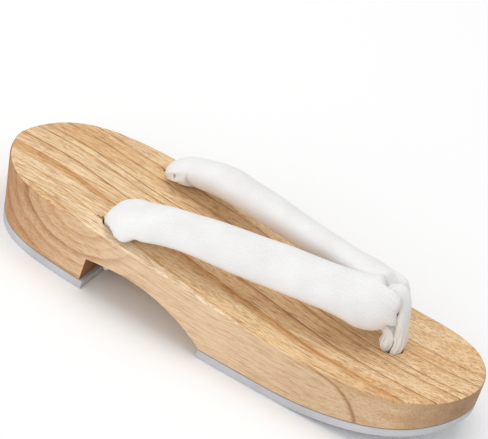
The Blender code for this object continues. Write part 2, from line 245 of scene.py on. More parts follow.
# Wood grain. Rings are numbered by where they lie at the heel, in mm to the right of the middle
RING_SHIFT = 30  # mm to the right that a drift of 1 stands for
RING_DRIFT_ALONG = (0.0, 0.08, 0.12, 0.16, 0.25, 0.33, 0.5, 0.62, 0.7, 0.79, 0.87, 0.95, 1.0)  # from the heel
RING_DRIFT = (0.0, 0.0, 0.03, 0.09, 0.217, 0.283, 0.4, 0.49, 0.583, 0.667, 0.757, 0.833, 0.87)
RING_SPREAD = (-100, -20, 1.0, 1.22)  # y in mm where the rings part and where they are parted, and how far
RING_CLOSING = (25, 70, 0, 0.12)  # and where they close up again a little
WALL_TOP = 26.3  # mm: rings bend below this height
WALL_BEND = (3.2, 0.35)  # mm that a ring has bent 1 mm down, and the bend's power
RING_SPAN = (-62, 50)  # lowest and highest ring number
RING_EDGES = (-0.28, 0.34)  # mm from a ring's dark line to where its tone starts, and to its softer tone
TOP_RINGS = (  # mm across the grain at the heel, tone, softer tone beside it, fade in mm
    (-32.5, "#784A24", "#F2E4D0", 1.4),
    (-24.7, "#6E4420", "#EFE0C8", 2.0),
    (-15.3, "#6E4420", "#EFE0C8", 1.5),
    (-11.0, "#6E4420", "#EBD8BC", 2.4),
    (-0.8, "#6A4220", "#EBD8BC", 2.6),
    (8.0, "#E6CAA2", "#E0C298", 5.0),
    (21.3, "#CDA67A", "#F6ECDC", 1.2),
    (31.8, "#84562E", "#F2E4D0", 1.4),
)
WALL_RINGS = ((22.3, "#9A6E44", "#F2E6D4", 0.9),)
HIGHLIGHT_RINGS = (21.2, 23.0)  # a painted highlight makes the top paler to the right of these, along its right edge
HIGHLIGHT_START = (-75, -50)  # y in mm where that starts and where it is full
HIGHLIGHT_STRENGTH = 1.6  # times as strong as the painted light along the middle of the length
PAINTED_LIGHT_MIDDLE = (85, 45)  # painted light: mm from the middle where the top starts to be painted paler, and where it is palest
ARC_MIDDLE = (-66, 34)  # y, z in mm that the heel's arcs hang round
ARC_WIDTH = 0.6  # how deep an arc hangs, as a share of its reach to either side
ARC_SPAN = 40  # mm
ARC_START = 0.5  # mm that an arc's tone takes to set in
ARC_FADE = (-30, -52, 0, 0.7)  # y in mm where the arcs start and where they are full, and how far they show
WALL_ARCS = (  # mm from the arcs' middle, tone, fade in mm
    (9.0, "#E6CBAC", 3.0),
    (13.5, "#EBD6BC", 2.0),
    (17.6, "#BE9468", 3.0),
    (23.0, "#E0C4A4", 2.5),
    (29.0, "#DCBC98", 3.0),
)
WALL_PAINTED_SHADE = (  # painted shade, darker towards the heel's back with a golden tone and towards the toe: y in mm where it starts and where it is full, its share there, tone
    (-70, -118, 0.95, "#C9A676"),
    (98, 118, 1.0, "#CFC6C0"),
    (10, 60, 1.0, "#F1EEEA"),
)
CHIPS = (  # middle x and y in mm, turn in degrees, half length, half width
    (29.8, -60.6, 68, 1.9, 0.45),
    (29.4, -59.2, 20, 1.6, 0.6),
    (-28.9, -60.4, 75, 1.9, 0.4),
    (-28.3, -58.9, 160, 1.3, 0.6),
)
CHIP_EDGE = (0.6, 1.1)  # share of a chip's half size where it starts to fade, and where it is gone

# Sizes of the materials' patterns. The wood's are in mm across the grain and along it
BROAD_FIBRES = (0.9, 26)
FINE_FIBRES = (0.36, 11)
PORES = (0.32, 3.2)
BROAD_SHARE = 0.6  # how much of a wood's contrast its broad fibres have, and its fine ones
FINE_SHARE = 1.4
GROUND_BANDS = (5.5, 120)
RING_WANDER = (26, 75)
RING_BREAKS = (1.2, 9)
ARC_WANDER = (16, 30)
ARC_BREAKS = (2.0, 5)
RING_MOVES = (0.9, 0.15)  # mm to either side that wide noise moves a ring, and fibres do
ARC_MOVES = (2.0, 0.7)
RUBBER_GRIT = 0.4 * MM
RUBBER_CLOUD = 50 / 3 * MM
CREPE_PEBBLE = (5 / 13 * MM, 2 / 3 * MM)  # along the strap and round it
CREPE_CLOUD = 100 / 9 * MM
COTTON_FUZZ = 5 / 9 * MM
PLAIN = "#FFFFFF"  # leaves what it tints as it is


# Helpers


def linear(hex_colour):
    """Linear colour of an sRGB hex value."""
    parts = [int(hex_colour[i : i + 2], 16) / 255 for i in (1, 3, 5)]
    return (*[c / 12.92 if c <= 0.04045 else ((c + 0.055) / 1.055) ** 2.4 for c in parts], 1.0)


def join(tree, node, values):
    """Gives a node's inputs their values. Of a node given as a value, the first output in use is taken."""
    for socket, value in values.items():
        if isinstance(value, bpy.types.Node):
            value = next(output for output in value.outputs if output.enabled)
        if isinstance(value, bpy.types.NodeSocket):
            tree.links.new(value, node.inputs[socket])
        else:
            node.inputs[socket].default_value = value


def add(tree, kind, values, stops=(), **settings):
    """One shader node with its values and settings. stops are a colour ramp's positions and hex colours."""
    node = tree.nodes.new("ShaderNode" + kind)
    for name, setting in settings.items():
        setattr(node, name, setting)
    join(tree, node, values)
    if stops:
        elements = node.color_ramp.elements
        while len(elements) < len(stops):
            elements.new(0.5)
        for element, (position, colour) in zip(elements, stops):
            element.position = position
        for element, (position, colour) in zip(elements, stops):
            element.color = linear(colour)
    return node


def new_material(name):
    """Empty material with its tree and its Principled shader."""
    made = bpy.data.materials.new(name)
    made.use_nodes = True
    tree = made.node_tree
    return made, tree, tree.nodes["Principled BSDF"]


def smooth_curve(stations, values):
    """Natural cubic spline: a function that gives the values, one or more columns, at any station."""
    at = np.asarray(stations, dtype=float)
    rows = np.asarray(values, dtype=float).reshape(len(at), -1)
    step = np.diff(at)
    slope = np.diff(rows, axis=0) / step[:, None]
    matrix = np.eye(len(at))
    bend = np.zeros_like(rows)
    for i in range(1, len(at) - 1):
        matrix[i, i - 1 : i + 2] = step[i - 1], 2 * (step[i - 1] + step[i]), step[i]
        bend[i] = 6 * (slope[i] - slope[i - 1])
    bend = np.linalg.solve(matrix, bend)

    def value(wanted):
        x = np.atleast_1d(wanted).astype(float)
        i = np.clip(np.searchsorted(at, x) - 1, 0, len(step) - 1)
        h = step[i][:, None]
        after = x[:, None] - at[i][:, None]
        before = h - after
        curve = (bend[i] * before**3 + bend[i + 1] * after**3) / (6 * h)
        curve += (rows[i] / h - bend[i] * h / 6) * before
        curve += (rows[i + 1] / h - bend[i + 1] * h / 6) * after
        return curve

    return value


def mesh_object(name, bm):
    """Makes a bmesh an object in the scene."""
    mesh = bpy.data.meshes.new(name)
    bm.to_mesh(mesh)
    bm.free()
    made = bpy.data.objects.new(name, mesh)
    bpy.context.scene.collection.objects.link(made)
    return made


def finish_piece(name, bm, material, nodes, sharp=40):
    """Makes a bmesh a piece that stands for its CAD nodes. Edges of more than sharp degrees stay crisp."""
    piece = mesh_object(name, bm)
    piece.data.materials.append(material)
    piece.data.shade_smooth()
    piece.data.set_sharp_from_angle(angle=math.radians(sharp))
    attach(piece, "root")
    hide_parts(*nodes)
    return piece


def smooth_step(value, low, high):
    """0 below low, 1 above high, and smooth between them."""
    t = min(max((value - low) / (high - low), 0.0), 1.0)
    return t * t * (3 - 2 * t)


def full_turn(count):
    """Evenly spaced angles of a round section's points."""
    return [2 * math.pi * k / count for k in range(count)]


def hump(value, middle, reach):
    """Soft bump: 1 at the middle, fading to 0 about two reaches away."""
    return math.exp(-(((value - middle) / reach) ** 2))


FOOTBED_CURVE = smooth_curve([y for y, z in FOOTBED], [z for y, z in FOOTBED])


def footbed_z(y):
    """Height of the top of the base."""
    return FOOTBED_CURVE(y / MM)[:, 0] * MM


def floor_z(y):
    """Height of the treads' lower side: flat, then rising to the toe."""
    rise = np.clip((y - ROCKER_START_Y) / (LENGTH / 2 - ROCKER_START_Y), 0, None)
    return ROCKER_RISE * rise**ROCKER_POWER


def heel_lean(y):
    """Forward shift of the heel's lower edge."""
    back = np.clip((LEAN_START_Y - y) / (LEAN_START_Y + LENGTH / 2), 0, 1)
    return HEEL_LEAN * back**2


def joint_lean(y):
    """Lean where wood and rubber meet."""
    return heel_lean(y) * (1 - TREAD / footbed_z(y))


def no_lean(y):
    """Upright wall."""
    return 0 * y


def right_edge(y_low, y_high):
    """Points of the right half of the plan outline, from the toe to the heel, evenly spaced."""
    turn = np.linspace(0, math.pi / 2, 4000)
    halves = []
    for s, end, tip in ((np.cos(turn), TOE_END, LENGTH / 2), (np.sin(turn), HEEL_END, -LENGTH / 2)):
        x = HALF_WIDTH * (1 - end["taper"] * s**2) * (1 - s ** end["power"]) ** (1 / end["root"])
        halves.append(np.column_stack((x, WIDEST_Y + (tip - WIDEST_Y) * s)))
    fine = np.vstack((halves[0], halves[1][1:]))
    fine = fine[(fine[:, 1] >= y_low) & (fine[:, 1] <= y_high)]
    run = np.concatenate(([0], np.cumsum(np.linalg.norm(np.diff(fine, axis=0), axis=1))))
    count = round(run[-1] / EDGE_STEP)
    first = 0.5 if fine[0, 0] < EDGE_STEP else 0
    last = count - 0.5 if fine[-1, 0] < EDGE_STEP else count
    stops = np.linspace(first, last, count) * run[-1] / count
    return np.column_stack([np.interp(stops, run, fine[:, k]) for k in (0, 1)])


def boat_block(edge, levels):
    """Closed block on the mirrored plan edge. A level is an inset, and a height and a lean at a given y."""
    along = np.gradient(edge, axis=0)
    outward = np.column_stack((-along[:, 1], along[:, 0]))
    outward /= np.linalg.norm(outward, axis=1)[:, None]
    bm = bmesh.new()
    half = len(edge)
    ring = bmesh.ops.create_circle(bm, segments=2 * half, radius=HALF_WIDTH)["verts"]
    rims = []
    for number, (inset, height, lean) in enumerate(levels):
        if number:
            loop = [bm.edges.get((ring[i - 1], ring[i])) for i in range(2 * half)]
            grown = bmesh.ops.extrude_edge_only(bm, edges=loop)["geom"]
            ring = bridge_order(ring, grown)
        points = edge - outward * inset
        z = height(points[:, 1])
        moved = points[:, 1] + lean(points[:, 1])
        for i in range(half):
            ring[i].co = (points[i, 0], moved[i], z[i])
            ring[2 * half - 1 - i].co = (-points[i, 0], moved[i], z[i])
        rims.append(ring)
    for ring in (rims[0], rims[-1]):
        right = [bm.edges.get((ring[i], ring[i + 1])) for i in range(half - 1)]
        left = [bm.edges.get((ring[-1 - i], ring[-2 - i])) for i in range(half - 1)]
        bmesh.ops.bridge_loops(bm, edges=right + left)
        bmesh.ops.holes_fill(bm, edges=[bm.edges.get((ring[0], ring[-1]))], sides=4)
    bmesh.ops.recalc_face_normals(bm, faces=bm.faces)
    return bm


def bridge_order(ring, grown):
    """New vertices of an extruded loop, in the order of the old ones."""
    fresh = {v for v in grown if isinstance(v, bmesh.types.BMVert)}
    ordered = []
    for vert in ring:
        others = (edge.other_vert(vert) for edge in vert.link_edges)
        ordered.append(next(other for other in others if other in fresh))
    return ordered


def tube(stations, section, count):
    """Closed tube: a circle extruded along its stations, with its points placed by the section function."""
    bm = bmesh.new()
    ring = bmesh.ops.create_circle(bm, segments=count, radius=MM)["verts"]
    first = ring
    for number, station in enumerate(stations):
        if number:
            loop = [bm.edges.get((ring[i - 1], ring[i])) for i in range(count)]
            ring = bridge_order(ring, bmesh.ops.extrude_edge_only(bm, edges=loop)["geom"])
        for vert, place in zip(ring, section(number, station)):
            vert.co = place
    for end in (first, ring):
        bmesh.ops.contextual_create(bm, geom=[bm.edges.get((end[i - 1], end[i])) for i in range(count)])
    bmesh.ops.recalc_face_normals(bm, faces=bm.faces)
    return bm


# Camera and lights


def make_camera():
    """The photo's view: long lens, rolled."""
    azimuth, elevation, roll = (math.radians(angle) for angle in CAMERA_ANGLES)
    data = bpy.data.cameras.new("camera")
    data.sensor_width = SENSOR
    data.lens = CAMERA_LENS
    data.clip_start = 0.05
    camera = bpy.data.objects.new("camera", data)
    camera.location = CAMERA_PLACE
    level_out = math.cos(elevation)
    back = Vector((math.sin(azimuth) * level_out, -math.cos(azimuth) * level_out, math.sin(elevation)))
    level = (-back).to_track_quat("-Z", "Y").to_matrix()
    camera.rotation_euler = (level @ Matrix.Rotation(roll, 3, "Z")).to_euler()
    bpy.context.scene.collection.objects.link(camera)
    bpy.context.scene.camera = camera


def make_studio():
    """Pale floor, white surround and two large soft lights, one overhead and one in front."""
    world = bpy.data.worlds.new("studio")
    world.use_nodes = True
    background = world.node_tree.nodes["Background"]
    background.inputs["Color"].default_value = linear("#FFFFFF")
    background.inputs["Strength"].default_value = SURROUND
    bpy.context.scene.world = world
    bpy.context.scene.view_settings.view_transform = "Standard"
    for name, place, size, energy in SOFT_BOXES:
        lamp = bpy.data.lights.new(name, "AREA")
        lamp.size = size
        lamp.energy = energy
        holder = bpy.data.objects.new(name, lamp)
        holder.location = place
        holder.rotation_euler = (-holder.location).to_track_quat("-Z", "Y").to_euler()
        bpy.context.scene.collection.objects.link(holder)
    bm = bmesh.new()
    bmesh.ops.create_grid(bm, x_segments=1, y_segments=1, size=FLOOR_REACH)
    floor = mesh_object("floor", bm)
    material, tree, shader = new_material("white_paper_floor")
    join(tree, shader, {"Base Color": linear("#FEFEFE"), "Roughness": 0.9})
    floor.data.materials.append(material)


# Materials


# A Mix node's inputs: 0 share, 6 and 7 colours. A Map Range node's: 0 value, 1 and 2 its range, 3 and 4 what
# the range's ends turn into
OVER = {"data_type": "RGBA"}  # settings of a Mix node that lays a colour over another
TINT = {"data_type": "RGBA", "blend_type": "MULTIPLY"}  # and of one that tints it


def long_noise(tree, place, size, detail=2.0, rough=0.5):
    """Noise drawn out along the wood. size: how many mm its spots are across and along."""
    across, along = size
    spot = add(tree, "Mapping", {"Vector": place, "Scale": (1 / across, 1 / along, 1 / across)})
    return add(tree, "TexNoise", {"Vector": spot, "Scale": 1.0, "Detail": detail, "Roughness": rough})


def jitter(tree, value, noise, reach):
    """A value moved by noise, at most by the reach to either side."""
    moved = add(tree, "Math", {0: noise, 1: 2 * reach, 2: -reach}, operation="MULTIPLY_ADD")
    return add(tree, "Math", {0: value, 1: moved}, operation="ADD")


def grain_breaks(tree, noise):
    """Share of a ring's tone that shows, so that its line is broken up here and there."""
    return add(tree, "MapRange", {0: noise, 1: 0.36, 2: 0.5, 3: 0.7, 4: 1.0})


def ring_number(tree, place, fibre, bends):
    """Which ring a place lies in. Rings run along the length, lean to the right and may bend down a wall."""
    axes = add(tree, "SeparateXYZ", {0: place}).outputs
    share = add(tree, "Math", {0: axes["Y"], 1: MM / LENGTH, 2: 0.5}, operation="MULTIPLY_ADD")
    curve = add(tree, "FloatCurve", {"Value": share})
    points = curve.mapping.curves[0].points
    first, *between, last = zip(RING_DRIFT_ALONG, RING_DRIFT)
    points[0].location, points[1].location = first, last
    for spot in between:
        points.new(*spot)
    curve.mapping.update()
    shift = add(tree, "Math", {0: curve, 1: RING_SHIFT}, operation="MULTIPLY")
    ring = add(tree, "Math", {0: axes["X"], 1: shift}, operation="SUBTRACT")
    if bends:
        drop = add(tree, "Math", {0: WALL_TOP, 1: axes["Z"]}, operation="SUBTRACT")
        drop = add(tree, "Math", {0: drop, 1: 0.0}, operation="MAXIMUM")
        bend = add(tree, "Math", {0: drop, 1: WALL_BEND[1]}, operation="POWER")
        ring = add(tree, "Math", {0: bend, 1: WALL_BEND[0], 2: ring}, operation="MULTIPLY_ADD")
    wide, near = (
        add(tree, "MapRange", {0: axes["Y"], 1: start, 2: end, 3: low, 4: high})
        for start, end, low, high in (RING_SPREAD, RING_CLOSING)
    )
    spread = add(tree, "Math", {0: wide, 1: near}, operation="SUBTRACT")
    ring = add(tree, "Math", {0: ring, 1: spread}, operation="DIVIDE")
    ring = jitter(tree, ring, long_noise(tree, place, RING_WANDER), RING_MOVES[0])
    return jitter(tree, ring, fibre, RING_MOVES[1])


def ring_tones(tree, colour, ring, place, rings):
    """Tints the wood where a ring starts at a dark pore row and fades to one side."""
    low, high = RING_SPAN
    stops = []
    for middle, tone, soft, fade in rings:
        for off, shade in ((RING_EDGES[0], PLAIN), (0, tone), (RING_EDGES[1], soft), (fade, PLAIN)):
            stops.append(((middle + off - low) / (high - low), shade))
    across = add(tree, "MapRange", {0: ring, 1: low, 2: high})
    tones = add(tree, "ValToRGB", {0: across}, stops)
    breaks = grain_breaks(tree, long_noise(tree, place, RING_BREAKS))
    return add(tree, "Mix", {0: breaks, 6: colour, 7: tones}, **TINT)


def wood_ground(tree, ring, place, tones, painted_light_share):
    """Broad bands of two tones, with painted light along the middle of the length, where the straps shade the
    top, and a painted highlight on the rightmost strip.
    """
    y = add(tree, "SeparateXYZ", {0: place}).outputs["Y"]
    bands = add(tree, "MapRange", {0: long_noise(tree, place, GROUND_BANDS), 1: 0.34, 2: 0.66})
    # painted highlight: the strip of the top right of these rings, along its right edge
    strip = add(tree, "MapRange", {0: ring, 1: HIGHLIGHT_RINGS[0], 2: HIGHLIGHT_RINGS[1]})
    inside = add(tree, "MapRange", {0: y, 1: HIGHLIGHT_START[0], 2: HIGHLIGHT_START[1]})
    strip = add(tree, "Math", {0: strip, 1: inside}, operation="MULTIPLY")
    bands = add(tree, "Math", {0: bands, 1: strip}, operation="MAXIMUM")
    colour = add(tree, "Mix", {0: bands, 6: linear(tones[0]), 7: linear(tones[1])}, **OVER)
    off = add(tree, "Math", {0: y}, operation="ABSOLUTE")
    middle = add(tree, "MapRange", {0: off, 1: PAINTED_LIGHT_MIDDLE[0], 2: PAINTED_LIGHT_MIDDLE[1], 3: 0.0, 4: painted_light_share})
    # painted light: the top is painted paler along the middle of the length, where the straps' shade falls
    colour = add(tree, "Mix", {0: middle, 6: colour, 7: linear("#FDE2B6")}, **OVER)
    # painted highlight on the rightmost strip of the top
    strip = add(tree, "Math", {0: strip, 1: HIGHLIGHT_STRENGTH * painted_light_share}, operation="MULTIPLY")
    return add(tree, "Mix", {0: strip, 6: colour, 7: linear("#FFEBCC")}, **OVER)


def wall_arcs(tree, colour, place, fibre):
    """Rings that reach the wall hang from the top edge at the heel, and painted shade darkens the wall
    towards the heel's back and towards the toe.
    """
    axes = add(tree, "SeparateXYZ", {0: place}).outputs
    away = add(tree, "Math", {0: axes["Y"], 1: -ARC_MIDDLE[0]}, operation="ADD")
    away = add(tree, "Math", {0: away, 1: ARC_WIDTH}, operation="MULTIPLY")
    fall = add(tree, "Math", {0: axes["Z"], 1: ARC_MIDDLE[1]}, operation="SUBTRACT")
    apart = add(tree, "CombineXYZ", {0: away, 1: fall})
    hang = add(tree, "VectorMath", {0: apart}, operation="LENGTH")
    hang = jitter(tree, hang, long_noise(tree, place, ARC_WANDER), ARC_MOVES[0])
    hang = jitter(tree, hang, fibre, ARC_MOVES[1])
    stops = [(0.0, PLAIN)]
    for start, tone, fade in WALL_ARCS:
        for off, shade in ((-ARC_START, PLAIN), (0, tone), (fade, PLAIN)):
            stops.append(((start + off) / ARC_SPAN, shade))
    hang = add(tree, "Math", {0: hang, 1: 1 / ARC_SPAN}, operation="MULTIPLY")
    tones = add(tree, "ValToRGB", {0: hang}, stops)
    start, end, low, high = ARC_FADE
    near = add(tree, "MapRange", {0: axes["Y"], 1: start, 2: end, 3: low, 4: high})
    breaks = grain_breaks(tree, long_noise(tree, place, ARC_BREAKS))
    share = add(tree, "Math", {0: near, 1: breaks}, operation="MULTIPLY")
    colour = add(tree, "Mix", {0: share, 6: colour, 7: tones}, **TINT)
    # painted shade on the wall's ends, which turn away from the light
    for start, end, most, tone in WALL_PAINTED_SHADE:
        share = add(tree, "MapRange", {0: axes["Y"], 1: start, 2: end, 3: 0.0, 4: most})
        colour = add(tree, "Mix", {0: share, 6: colour, 7: linear(tone)}, **TINT)
    return colour


def chip_marks(tree, colour, place, chips):
    """Dark splintered spots beside the rear bores."""
    for chip_x, chip_y, turn, long, wide in chips:
        spot = add(tree, "VectorMath", {0: place, 1: (chip_x, chip_y, 0)}, operation="SUBTRACT")
        spot = add(tree, "Mapping", {"Vector": spot, "Rotation": (0, 0, -math.radians(turn))})
        spot = add(tree, "VectorMath", {0: spot, 1: (1 / long, 1 / wide, 0)}, operation="MULTIPLY")
        apart = add(tree, "VectorMath", {0: spot}, operation="LENGTH")
        dark = add(tree, "MapRange", {0: apart, 1: CHIP_EDGE[0], 2: CHIP_EDGE[1], 3: 0.85, 4: 0.0})
        colour = add(tree, "Mix", {0: dark, 6: colour, 7: linear("#4A2C16")}, **OVER)
    return colour


def wood_material(name, rings, ground, pores, contrast, painted_light_share=0.0, on_wall=False, chips=()):
    """Paulownia, planed or sawn and left without varnish: rings, fibres, short pores and a soft, dull sheen.

    rings: each ring's place, tone, softer tone and fade. ground: darker and lighter tone of the wood.
    pores: how much they show, and their tone. contrast: share of the fibres' tones that shows.
    painted_light_share: how much painted light there is along the middle of the length, and painted highlight
    on the right strip. on_wall: whether rings hang down it.
    """
    material, tree, shader = new_material(name)
    place = add(tree, "TexCoord", {}).outputs["Object"]
    place = add(tree, "VectorMath", {0: place, "Scale": 1 / MM}, operation="SCALE")
    fibre = long_noise(tree, place, BROAD_FIBRES, 3.0, 0.6)
    ring = ring_number(tree, place, fibre, on_wall)
    colour = wood_ground(tree, ring, place, ground, painted_light_share)
    if rings:
        colour = ring_tones(tree, colour, ring, place, rings)
    if on_wall:
        colour = wall_arcs(tree, colour, place, fibre)
    # broad fibres, fine fibres, and open pores 0.3 mm across
    broad = add(tree, "ValToRGB", {0: fibre}, ((0.33, "#C19A6E"), (0.5, PLAIN), (0.72, "#FFF6E6")))
    colour = add(tree, "Mix", {0: BROAD_SHARE * contrast, 6: colour, 7: broad}, **TINT)
    fine = long_noise(tree, place, FINE_FIBRES, 4.0, 0.7)
    fine = add(tree, "ValToRGB", {0: fine}, ((0.34, "#B4804E"), (0.5, PLAIN)))
    colour = add(tree, "Mix", {0: min(FINE_SHARE * contrast, 1), 6: colour, 7: fine}, **TINT)
    most, tone = pores
    pore = long_noise(tree, place, PORES)
    pore = add(tree, "MapRange", {0: pore, 1: 0.56, 2: 0.68, 3: 0.0, 4: most})
    colour = add(tree, "Mix", {0: pore, 6: colour, 7: linear(tone)}, **OVER)
    colour = chip_marks(tree, colour, place, chips)
    height = add(tree, "Math", {0: fibre, 1: 0.6}, operation="MULTIPLY")
    height = add(tree, "Math", {0: height, 1: pore}, operation="SUBTRACT")
    bump = add(tree, "Bump", {"Strength": 0.3, "Distance": 0.2 * MM, "Height": height})
    join(tree, shader, {"Base Color": colour, "Normal": bump, "Roughness": 0.62, "IOR": 1.42})
    return material


def rubber_material():
    """Solid grey rubber sheet, cut from a roll and glued on: matte, with fine grit."""
    material, tree, shader = new_material("cut_rubber_sheet")
    place = add(tree, "TexCoord", {}).outputs["Object"]
    grit = add(tree, "TexNoise", {"Vector": place, "Scale": 1 / RUBBER_GRIT})
    cloud = add(tree, "TexNoise", {"Vector": place, "Scale": 1 / RUBBER_CLOUD, "Detail": 3.0})
    tone = add(tree, "ValToRGB", {0: cloud}, ((0.3, "#BDBEC2"), (0.7, "#CBCCD0")))
    bump = add(tree, "Bump", {"Strength": 0.25, "Distance": 0.1 * MM, "Height": grit})
    join(tree, shader, {"Base Color": tone, "Normal": bump, "Roughness": 0.7})
    return material


def crepe_material():
    """Off-white crepe, woven of twisted thread: pebbles about 0.5 mm wide and a soft sheen from its nap."""
    material, tree, shader = new_material("woven_crepe")
    place = add(tree, "TexCoord", {}).outputs["Object"]
    cloth = add(tree, "UVMap", {}, uv_map="cloth")
    long, wide = CREPE_PEBBLE
    weave = add(tree, "Mapping", {"Vector": cloth, "Scale": (1 / long, 1 / wide, 1)})
    weave = add(tree, "TexNoise", {"Vector": weave, "Scale": 1.0})
    cloud = add(tree, "TexNoise", {"Vector": place, "Scale": 1 / CREPE_CLOUD})
    tone = add(tree, "ValToRGB", {0: cloud}, ((0.3, "#ECEBEA"), (0.7, "#F3F3F3")))
    grain = add(tree, "ValToRGB", {0: weave}, ((0.35, "#E4E1DF"), (0.6, PLAIN)))
    colour = add(tree, "Mix", {0: 0.35, 6: tone, 7: grain}, **TINT)
    # one dark stitch where the left strap is gathered
    apart = add(tree, "VectorMath", {0: cloth, 1: STITCH}, operation="SUBTRACT")
    apart = add(tree, "Mapping", {"Vector": apart, "Rotation": (0, 0, STITCH_TURN), "Scale": STITCH_SHAPE})
    apart = add(tree, "VectorMath", {0: apart}, operation="LENGTH")
    mark = add(tree, "MapRange", {0: apart, 1: STITCH_EDGE[0], 2: STITCH_EDGE[1], 3: 0.65, 4: 0.0})
    colour = add(tree, "Mix", {0: mark, 6: colour, 7: linear("#6E625A")}, **OVER)
    bump = add(tree, "Bump", {"Strength": 0.3, "Distance": 0.2 * MM, "Height": weave})
    join(tree, shader, {"Base Color": colour, "Normal": bump, "Roughness": 0.85})
    join(tree, shader, {"Sheen Weight": 0.15, "Sheen Roughness": 0.5})
    return material


def cord_material():
    """Twisted cotton cord, undyed, with a fuzz of loose fibres."""
    material, tree, shader = new_material("twisted_cotton_cord")
    place = add(tree, "TexCoord", {}).outputs["Object"]
    fuzz = add(tree, "TexNoise", {"Vector": place, "Scale": 1 / COTTON_FUZZ, "Detail": 3.0})
    tone = add(tree, "ValToRGB", {0: fuzz}, ((0.3, "#C9C2B4"), (0.7, "#E6E0D4")))
    bump = add(tree, "Bump", {"Strength": 0.6, "Distance": 0.2 * MM, "Height": fuzz})
    join(tree, shader, {"Base Color": tone, "Normal": bump, "Roughness": 0.9})
    return material


# Wood and rubber


def carve(piece, cutters):
    """Takes the cutters' shapes out of a piece and leaves the result as its own mesh."""
    for cutter in cutters:
        cutter.hide_render = True
        boolean = piece.modifiers.new(cutter.name, "BOOLEAN")
        boolean.operation = "DIFFERENCE"
        boolean.solver = "EXACT"
        boolean.object = cutter
    settle(piece)
    piece.data.set_sharp_from_angle(angle=math.radians(SHARP_ANGLE))
    for cutter in cutters:
        bpy.data.objects.remove(cutter)


def settle(piece):
    """Applies a piece's modifiers."""
    graph = bpy.context.evaluated_depsgraph_get()
    shown = piece.evaluated_get(graph)
    made = bpy.data.meshes.new_from_object(shown, preserve_all_data_layers=True, depsgraph=graph)
    old = piece.data
    piece.modifiers.clear()
    piece.data = made
    bpy.data.meshes.remove(old)
    made.name = piece.name


def arch_cutter():
    """Block with the arch's side profile."""
    rows = np.array(ARCH, dtype=float)
    stations = np.linspace(rows[0, 0], rows[-1, 0], ARCH_STEPS)
    heights = smooth_curve(rows[:, 0], rows[:, 1])(stations)[:, 0]
    ceiling = [(y * MM, z * MM) for y, z in zip(stations, heights)]
    profile = [(HEEL_FACE_Y, -OVERSHOOT), *ceiling, (ceiling[-1][0] + OVERSHOOT, -OVERSHOOT)]
    bm = bmesh.new()
    rim = bmesh.ops.create_circle(bm, cap_ends=True, segments=len(profile), radius=HALF_WIDTH)["verts"]
    for vert, (y, z) in zip(rim, profile):
        vert.co = (-HALF_WIDTH - OVERSHOOT, y, z)
    grown = bmesh.ops.extrude_face_region(bm, geom=list(bm.faces))["geom"]
    moved = [v for v in grown if isinstance(v, bmesh.types.BMVert)]
    bmesh.ops.translate(bm, vec=(2 * (HALF_WIDTH + OVERSHOOT), 0, 0), verts=moved)
    bmesh.ops.recalc_face_normals(bm, faces=bm.faces)
    return mesh_object("arch_cutter", bm)


def rod_cutter(name, start, end, radius):
    """Round cutter between two points."""
    axis = end - start
    place = Matrix.Translation((start + end) / 2) @ axis.to_track_quat("Z", "Y").to_matrix().to_4x4()
    bm = bmesh.new()
    size = {"radius1": radius, "radius2": radius, "depth": axis.length}
    bmesh.ops.create_cone(bm, cap_ends=True, segments=BORE_SIDES, matrix=place, **size)
    return mesh_object(name, bm)


def rear_bore(side):
    """Top, foot and downward direction of a rear bore. side is 1 on the right, -1 on the left."""
    top = Vector((side * REAR_BORE_X, *REAR_BORE_TOP))
    foot = Vector((side * REAR_BORE_X, *REAR_BORE_FOOT))
    return top, foot, (foot - top).normalized()


def front_bore(z):
    """Middle of the front bore at a height."""
    return Vector((FRONT_BORE_X, FRONT_BORE_Y, z))


def pocket_cutter(name):
    """Cutter for the round pocket that the front knot sits in."""
    return rod_cutter(name, front_bore(KNOT_POCKET_TOP), front_bore(-OVERSHOOT), KNOT_POCKET_RADIUS)


def make_base(woods):
    """The block of wood, with finer walls and rim than its solid."""
    edge = right_edge(-LENGTH / 2, LENGTH / 2)
    low = TREAD + GAP / 2
    # the wall, the rounded rim and the top, as insets, heights and leans
    levels = [
        (EDGE_WEAR, lambda y: floor_z(y) + low, joint_lean),
        (0, lambda y: floor_z(y) + low + EDGE_WEAR, joint_lean),
        (0, lambda y: footbed_z(y) - RIM, no_lean),
    ]
    for step in range(1, RIM_STEPS + 1):
        angle = math.pi / 2 * step / RIM_STEPS
        drop = RIM * (1 - math.sin(angle))
        levels.append((RIM * (1 - math.cos(angle)), lambda y, drop=drop: footbed_z(y) - drop, no_lean))
    levels.append((RIM_INSET, footbed_z, no_lean))
    base = finish_piece("wooden_base", boat_block(edge, levels), woods[0], ["base"])
    cutters = [arch_cutter()]
    for side, name in ((1, "right"), (-1, "left")):
        top, foot, down = rear_bore(side)
        past = down * OVERSHOOT
        cutters.append(rod_cutter("rear_bore_" + name, top - past, foot + past, REAR_BORE_RADIUS))
    above = front_bore(footbed_z(FRONT_BORE_Y)[0] + OVERSHOOT)
    inside = front_bore(KNOT_POCKET_TOP - OVERSHOOT)
    cutters.append(rod_cutter("front_bore", above, inside, FRONT_BORE_RADIUS))
    cutters.append(pocket_cutter("knot_pocket"))
    carve(base, cutters)
    for wood in woods[1:]:
        base.data.materials.append(wood)
    for face in base.data.polygons:
        spot = face.center
        on_top = face.normal.z > TOP_SLOPE and spot.z > footbed_z(spot.y)[0] - RIM
        on_heel_face = face.normal.y > END_SLOPE and spot.y < 0
        if not on_top:
            # the heel's front face, in the recess under the arch, gets end grain with painted shade
            face.material_index = 2 if on_heel_face else 1


